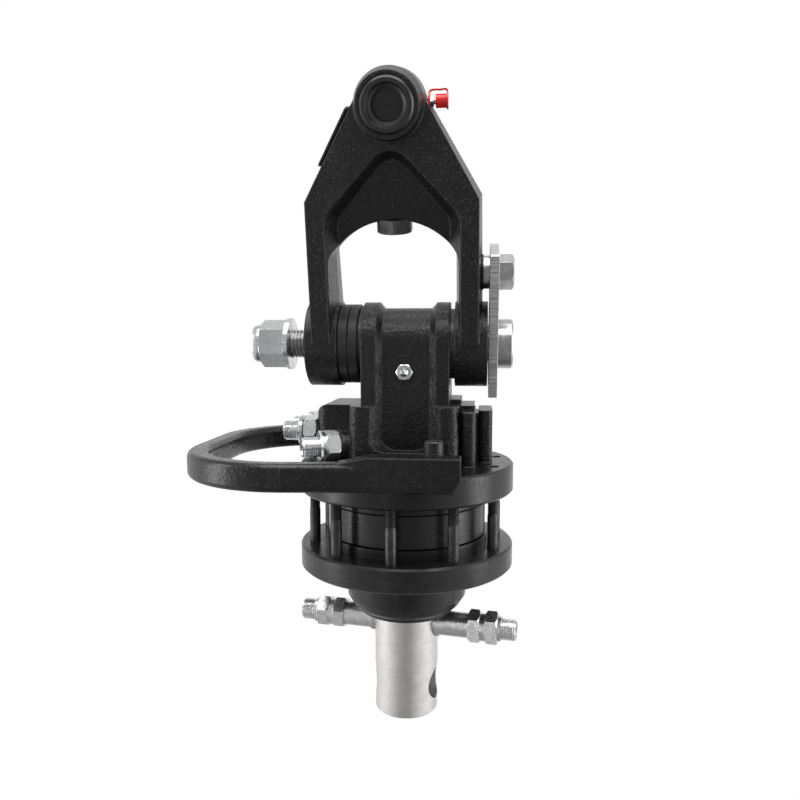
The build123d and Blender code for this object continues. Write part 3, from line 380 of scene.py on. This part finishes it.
# Lock plate: 6.5 mm plate cut by flame, galvanised, that stops the pin turning.
# Its thin edges keep the flame's fine vertical drag lines; a hexagon bolt and a spacer hold it.
def galvanised(name):
    made, tree, shader = blank_material(name)
    place = add(tree, "TexCoord").outputs["Object"]
    along = add(tree, "Mapping", {"Vector": place, "Rotation": (math.radians(-18), 0, 0), "Scale": (25.0, 60.0, 850.0)}).outputs["Vector"]
    drag = add(tree, "TexNoise", {"Vector": along, "Scale": 1.0, "Detail": 3.0, "Roughness": 0.65, "Distortion": 0.3}).outputs["Fac"]
    spangle = add(tree, "TexVoronoi", {"Vector": place, "Scale": 330.0}).outputs["Color"]
    spangle = add(tree, "SeparateXYZ", {"Vector": spangle}).outputs["X"]
    across = add(tree, "SeparateXYZ", {"Vector": add(tree, "NewGeometry").outputs["Normal"]}).outputs["X"]
    edge = add(tree, "Math", {0: across}, operation="ABSOLUTE").outputs[0]
    edge = add(tree, "MapRange", {"Value": edge, "From Min": 0.6, "From Max": 0.3}).outputs["Result"]
    normal, corner = rounded(tree, 0.0006)
    bump = add(tree, "Bump", {"Strength": edge, "Distance": 0.0006, "Height": drag, "Normal": normal})
    colour = ramp(tree, spangle, (0.1, (0.5, 0.51, 0.52)), (0.9, (0.68, 0.69, 0.7)))
    scale = ramp(tree, drag, (0.35, (0.38, 0.37, 0.35)), (0.62, (0.62, 0.62, 0.61)))
    mixed = add(tree, "Mix", {0: edge, 6: colour, 7: scale}, data_type="RGBA").outputs[2]
    # Corners painted lighter: partly rubbed zinc, partly a painted highlight along the edges.
    worn_edge_highlight = add(tree, "Mix", {0: corner, 6: mixed, 7: (0.82, 0.82, 0.82, 1)}, data_type="RGBA").outputs[2]
    sheen = add(tree, "MapRange", {"Value": spangle, "To Min": 0.34, "To Max": 0.5})
    tree.links.new(worn_edge_highlight, shader.inputs["Base Color"])
    tree.links.new(sheen.outputs["Result"], shader.inputs["Roughness"])
    tree.links.new(bump.outputs["Normal"], shader.inputs["Normal"])
    shader.inputs["Metallic"].default_value = 0.85
    return made


dress(galvanised("plate_zinc"), "lock_plate")
bolt_steel = turned_metal("bolt_steel", (0.42, 0.42, 0.42), (0.58, 0.58, 0.58), 0.32, 700.0)
dress(bolt_steel, "lock_plate_bolt", "lock_plate_spacer")


# Arch bolt: a black oxide hexagon bolt screwed up through the arch to lock the crane pin.
# The guard's two socket screws and their washers have the same finish.
black_oxide = turned_metal("black_oxide", (0.03, 0.03, 0.031), (0.07, 0.07, 0.072), 0.38, 500.0, metallic=0.7)
dress(black_oxide, "arch_bolt", "guard_screws", "guard_washers")


# Brake discs and thrust rings: pressed friction discs on both sides of the head's lug.
# They are black, and the ring next to the lug is bare at its rim.
disc_black = turned_metal("disc_black", (0.012, 0.012, 0.012), (0.022, 0.022, 0.022), 0.42, 900.0, metallic=0.0)
dress(disc_black, "brake_disc_outer", "brake_disc_inner")
ring_grey = turned_metal("ring_grey", (0.05, 0.05, 0.05), (0.09, 0.09, 0.09), 0.4, 900.0, metallic=0.4)
dress(ring_grey, "thrust_ring_left", "thrust_ring_right")
dress(turned_metal("pivot_bush", (0.36, 0.2, 0.08), (0.5, 0.3, 0.13), 0.3, 900.0), "pivot_bush_left", "pivot_bush_right")


# Head: one ductile iron casting with the pivot lug, the oil galleries and the upper flange.
# The flange is turned and painted, so it is smooth; the rest keeps its sand grain.
dress(cast_paint("head_paint", 300.0, 0.0008, 0.3, smooth_below=-0.2505), "head_casting")


# Hose guard: a bar bent round the hose ports and bolted to the flange, painted black.
# It is forged, so its grain is softer than the castings'.
dress(cast_paint("guard_paint", 210.0, 0.0004, 0.26), "hose_guard")


# Hose adapters: zinc plated steel, a hexagon and a collar with an M16 thread and a 24 degree cone.
# Four screw into the head's galleries on black seal rings.
head_place = Matrix.Translation((0.006, 0.052533, -0.161680))
adapter_rows = [
    (9, 5, ""), (9, 7.4, ""), (8.2, 8, ""), (-0.8, 8, ""), (-0.8, 11.2, "hex"), (-2.0, 12.7, "hex"), (-10.0, 12.7, "hex"),
    (-11.2, 11.0, "hex"), (-11.2, 11.5, ""), (-12.0, 12.3, ""), (-14.4, 12.3, ""), (-15.6, 11.1, ""), (-15.6, 7.2, ""),
    (-16.6, 7.1, ""), (-16.8, 8, "thread"), (-27.1, 8, "thread"), (-28.5, 6.9, "thread"), (-28.5, 6.6, ""), (-23.5, 5, ""),
    (9, 5, ""),
]
turn_24 = Matrix.Rotation(math.radians(24), 4, "Z")
turn_rear = Matrix.Rotation(math.radians(-90), 4, "Z")
adapters = {
    "front_adapter_threaded": (Matrix.Translation((-0.0485, -0.0245, -0.0762)) @ turn_24, "front_adapter"),
    "side_adapter_near_threaded": (Matrix.Translation((-0.0715, 0.014, -0.0696)), "side_adapters"),
    "side_adapter_far_threaded": (Matrix.Translation((-0.0715, 0.046, -0.0696)), "side_adapters"),
    "rear_adapter_threaded": (Matrix.Translation((-0.022, 0.037, -0.071)) @ turn_rear, "rear_adapter"),
}
for name, (place, node) in adapters.items():
    adapter = spun(name, adapter_rows, head_place @ place, bright_zinc, across=22, turn=13 - 30, pitch=1.5, depth=0.85)
    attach(adapter, "head")
    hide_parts(node)
seal_rubber = moulded("seal_rubber", (0.01, 0.01, 0.01), (0.018, 0.018, 0.018), 0.5, 1200.0)
dress(seal_rubber, "adapter_seal_rings", "shaft_seal", "dust_wiper")


# Motor: the cam ring between the flanges and the lower flange with its seal hub, turned and painted.
# The paint is smooth, and it shows the lathe's rings where light grazes it.
motor_paint = turned_metal("motor_paint", (0.009, 0.009, 0.0095), (0.017, 0.017, 0.018), 0.27, 500.0, metallic=0.0, axis="Z")
dress(motor_paint, "cam_ring", "lower_flange")


# Long bolts: ten M8 cap screws, black, whose ends show their thread under the upper flange.
bolt_rows = [
    (-92.5, 0, ""), (-92.5, 3.4, "thread"), (-93.2, 4, "thread"), (-124.0, 4, "thread"), (-124.6, 3.6, ""),
    (-125.4, 4.0, ""), (-159.8, 4.0, ""), (-159.8, 6.5, ""), (-167.0, 6.5, ""), (-167.8, 5.8, ""), (-167.8, 3.2, ""), (-163.8, 3.0, ""),
    (-163.8, 0, ""),
]
upright = Matrix.Rotation(math.radians(-90), 4, "Y")
for i in range(10):
    angle = math.radians(-93.5 + 36 * i)
    place = head_place @ Matrix.Translation((0.071 * math.cos(angle), 0.071 * math.sin(angle), 0)) @ upright
    bolt = spun(f"long_bolt_{i + 1}", bolt_rows, place, black_oxide, segments=24, pitch=1.25, depth=0.7)
    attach(bolt, "head")
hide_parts("long_bolts")


# Rotor: one steel forging, vane rotor above and the grapple's shaft below, turned bright.
# A cross bore takes the grapple's pin, and two zinc pipes leave it under the hub.
shaft_steel = turned_metal("shaft_steel", (0.68, 0.66, 0.64), (0.78, 0.76, 0.74), 0.33, 1600.0, axis="Z")
dress(shaft_steel, "rotor_shaft", "rotor_vanes")
pipe_zinc = zinc("pipe_zinc", 0.26, (0.83, 0.83, 0.83))
dress(pipe_zinc, "lower_pipes", "pipe_nuts")

rotor_place = head_place @ Matrix.Rotation(math.radians(-9.5), 4, "Z") @ Matrix.Translation((0, 0, -0.217))
end_rows = [
    (50, 9.6, ""), (50, 11.0, "hex"), (51.2, 12.7, "hex"), (57.8, 12.7, "hex"), (59, 11.0, "hex"), (59, 10.6, ""),
    (63, 10.6, ""), (63, 11.0, "hex"), (64.2, 12.7, "hex"), (71.3, 12.7, "hex"), (72.5, 11.0, "hex"), (72.5, 9.53, ""),
    (75, 9.53, ""), (75, 8.33, "thread"), (85.3, 8.33, "thread"), (86.5, 7.2, "thread"), (86.5, 6.0, ""), (84.5, 5, ""),
    (58, 5, ""), (58, 9.6, ""), (50, 9.6, ""),
]
for name, turned in (("lower_end_right", 0), ("lower_end_left", 180)):
    place = rotor_place @ Matrix.Rotation(math.radians(turned), 4, "Z")
    end = spun(name, end_rows, place, pipe_zinc, across=22, turn=-10, pitch=1.337, depth=0.8)
    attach(end, "rotor")
    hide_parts("lower_adapters", "pipe_nuts")


# Bearings and seals inside the motor: hard steel races and rollers, plastic thrust washer and rings.
# They only show in a cut model.
hard_steel = turned_metal("race_steel", (0.5, 0.5, 0.5), (0.62, 0.62, 0.62), 0.18, 1500.0, axis="Z")
dress(hard_steel, "lower_bearing_outer_race", "lower_bearing_inner_race", "lower_bearing_rollers")
seal_plastic = moulded("seal_plastic", (0.5, 0.48, 0.42), (0.6, 0.58, 0.5), 0.45, 900.0)
dress(seal_plastic, "rotor_thrust_washer", "distributor_seal_rings")
dress(turned_metal("journal_bronze", (0.36, 0.2, 0.08), (0.5, 0.3, 0.13), 0.3, 900.0, axis="Z"), "upper_journal_bush")
